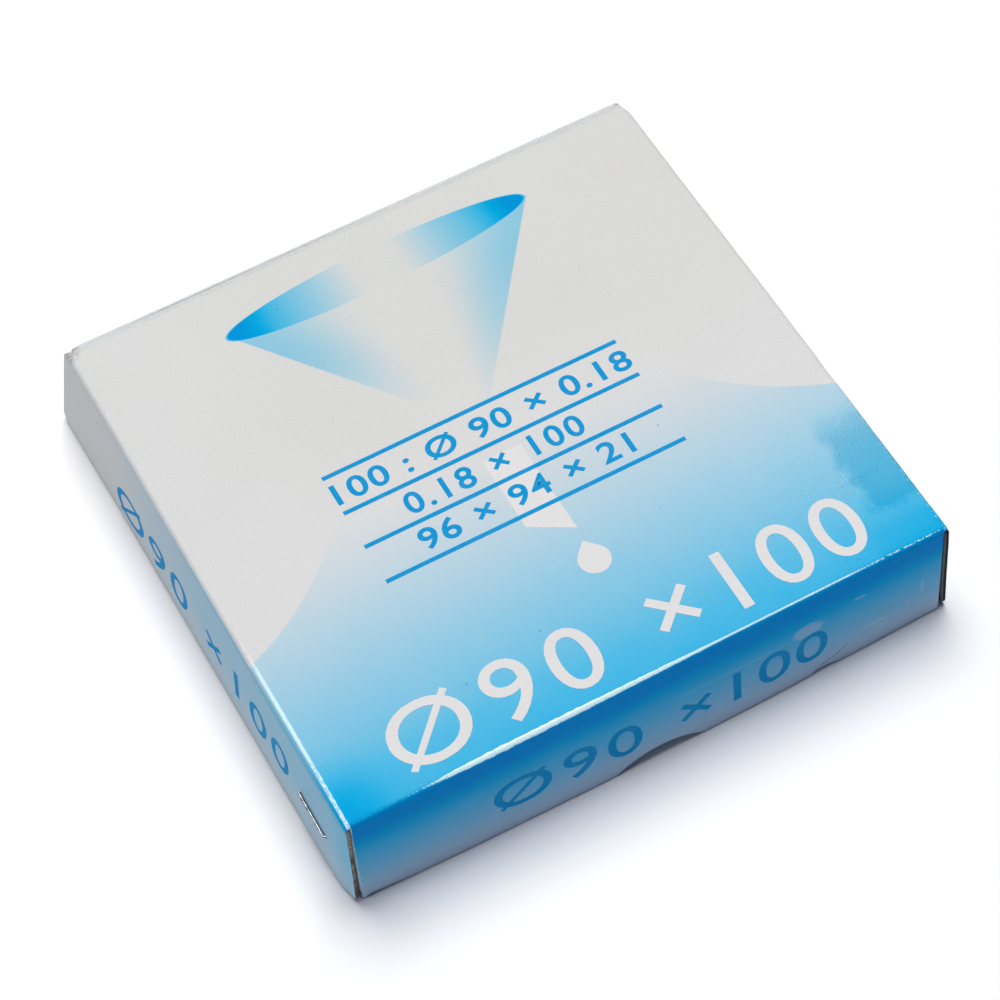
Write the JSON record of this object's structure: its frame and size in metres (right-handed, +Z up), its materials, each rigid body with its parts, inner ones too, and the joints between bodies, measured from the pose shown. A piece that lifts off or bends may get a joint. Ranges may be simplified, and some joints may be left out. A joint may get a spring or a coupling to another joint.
{
  "type": "filter paper carton",
  "caption": "Flat square hinged-lid board carton, printed in blue on white, with a thumb notch and stapled corners, filled with round laboratory filter papers.",
  "frame": {"origin": "centre of the tray's floor, on the surface that the carton rests on", "axes": "+X to the right and +Y to the rear, seen from the front wall with the thumb notch; +Z up"},
  "size_m": [0.1002, 0.0983, 0.0208],
  "materials": {
    "printed_board": "satin",
    "grey_board": "matte",
    "staple_wire": "satin",
    "filter_paper": "matte"
  },
  "bodies": {
    "tray_body": {"tray": "grey_board", "tray_staple_front_left": "staple_wire", "tray_staple_front_right": "staple_wire", "tray_staple_rear_left": "staple_wire", "tray_staple_rear_right": "staple_wire"},
    "lid_body": {"lid": "printed_board", "lid_staple_left": "staple_wire", "lid_staple_right": "staple_wire"},
    "paper_body": {"filter_circles_001_to_010": "filter_paper", "filter_circles_011_to_020": "filter_paper", "filter_circles_021_to_030": "filter_paper", "filter_circles_031_to_040": "filter_paper", "filter_circles_041_to_050": "filter_paper", "filter_circles_051_to_060": "filter_paper", "filter_circles_061_to_070": "filter_paper", "filter_circles_071_to_080": "filter_paper", "filter_circle_081": "filter_paper", "filter_circle_082": "filter_paper", "filter_circle_083": "filter_paper", "filter_circle_084": "filter_paper", "filter_circle_085": "filter_paper", "filter_circle_086": "filter_paper", "filter_circle_087": "filter_paper", "filter_circle_088": "filter_paper", "filter_circle_089": "filter_paper", "filter_circle_090": "filter_paper", "filter_circle_091": "filter_paper", "filter_circle_092": "filter_paper", "filter_circle_093": "filter_paper", "filter_circle_094": "filter_paper", "filter_circle_095": "filter_paper", "filter_circle_096": "filter_paper", "filter_circle_097": "filter_paper", "filter_circle_098": "filter_paper", "filter_circle_099": "filter_paper", "filter_circle_100": "filter_paper"}
  },
  "joints": [
    {"name": "lid_hinge", "type": "hinge", "parent": "tray_body", "child": "lid_body", "pos_m": [0, 0.04715, 0.0208], "axis": [-1, 0, 0], "range_deg": [0, 180]},
    {"name": "stack_lift", "type": "slide", "parent": "tray_body", "child": "paper_body", "axis": [0, 0, 1], "range_m": [0, 0.0008]}
  ]
}
